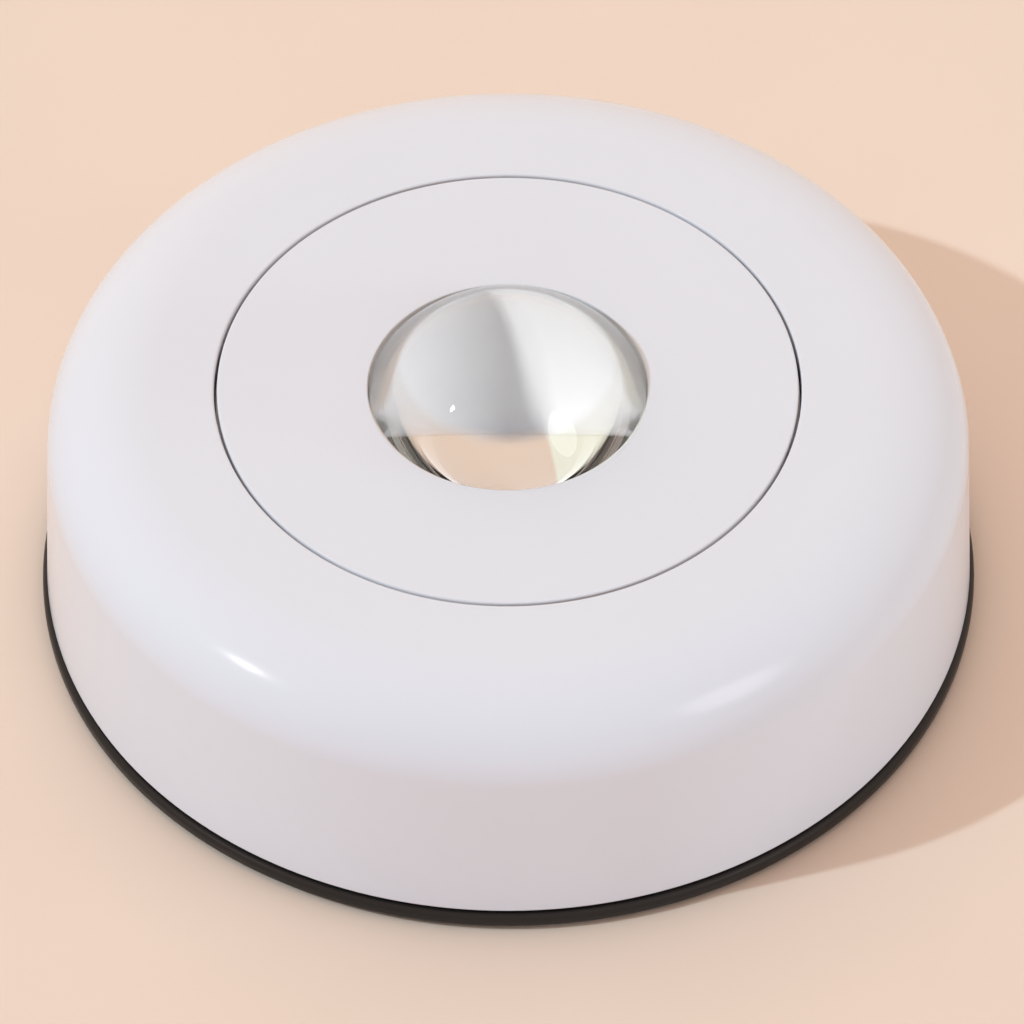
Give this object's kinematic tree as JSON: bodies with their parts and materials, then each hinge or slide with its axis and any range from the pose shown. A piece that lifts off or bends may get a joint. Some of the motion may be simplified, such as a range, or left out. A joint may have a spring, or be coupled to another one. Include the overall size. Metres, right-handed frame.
{
  "type": "puck light",
  "caption": "Round push light: a white housing on a black twist-off base, with a flush press disc that carries a domed clear lens.",
  "frame": {"origin": "centre of the underside, on the plane of the foam pad's face", "axes": "+Z out of the surface that the light is fastened to, through the middle of the lens; +X and +Y across the body, with the cells lying along Y"},
  "size_m": [0.08, 0.08, 0.031],
  "materials": {
    "shell_white": "satin gloss moulded",
    "chassis_white": "fine matte moulded",
    "base_black": "satin moulded",
    "foam_pad": "soft foam with adhesive face",
    "lens_clear": "polished clear",
    "reflector_white": "smooth white",
    "board": "white solder mask",
    "led_body": "white package",
    "phosphor": "soft yellow",
    "dark_plastic": "fine matte",
    "plunger_red": "satin",
    "steel": "zinc plated",
    "nickel": "nickel plated",
    "cell_sleeve": "printed sleeve over a steel can",
    "lead_black": "soft insulation",
    "lead_red": "soft insulation"
  },
  "bodies": {
    "mount": {"mounting_base": "base_black", "adhesive_pad": "foam_pad"},
    "button": {"press_disc": "shell_white", "lens": "lens_clear", "reflector_ring": "reflector_white"},
    "plunger": {"switch_plunger": "plunger_red"},
    "light": {"housing": "shell_white", "back_plate": "chassis_white", "circuit_board": "board", "board_screw_1": "steel", "board_screw_2": "steel", "led_package": "led_body", "led_phosphor": "phosphor", "resistor": "dark_plastic", "switch_body": "dark_plastic", "contact_negative": "nickel", "contact_link_a": "nickel", "contact_link_b": "nickel", "contact_positive": "nickel", "wire_negative": "lead_black", "wire_positive": "lead_red", "body_screw_1": "steel", "return_spring_1": "steel", "body_screw_2": "steel", "return_spring_2": "steel", "body_screw_3": "steel", "return_spring_3": "steel", "body_screw_4": "steel", "return_spring_4": "steel", "cell_1": "cell_sleeve", "cell_spring_1": "nickel", "cell_2": "cell_sleeve", "cell_spring_2": "nickel", "cell_3": "cell_sleeve", "cell_spring_3": "nickel"}
  },
  "joints": [
    {"name": "base_twist", "type": "hinge", "parent": "mount", "child": "light", "pos_m": [0, 0, 0], "axis": [0, 0, 1], "range_deg": [0, 35]},
    {"name": "disc_press", "type": "slide", "parent": "light", "child": "button", "axis": [0, 0, -1], "range_m": [0, 0.001], "stiffness_N_per_m": 900, "springref_m": -0.0005, "deforming": ["return_spring_1", "return_spring_2", "return_spring_3", "return_spring_4"]},
    {"name": "plunger_press", "type": "slide", "parent": "light", "child": "plunger", "axis": [0, 0, -1], "range_m": [0, 0.001]}
  ],
  "couplings": [
    {"joint": "plunger_press", "follows": "disc_press", "ratio": 1}
  ]
}
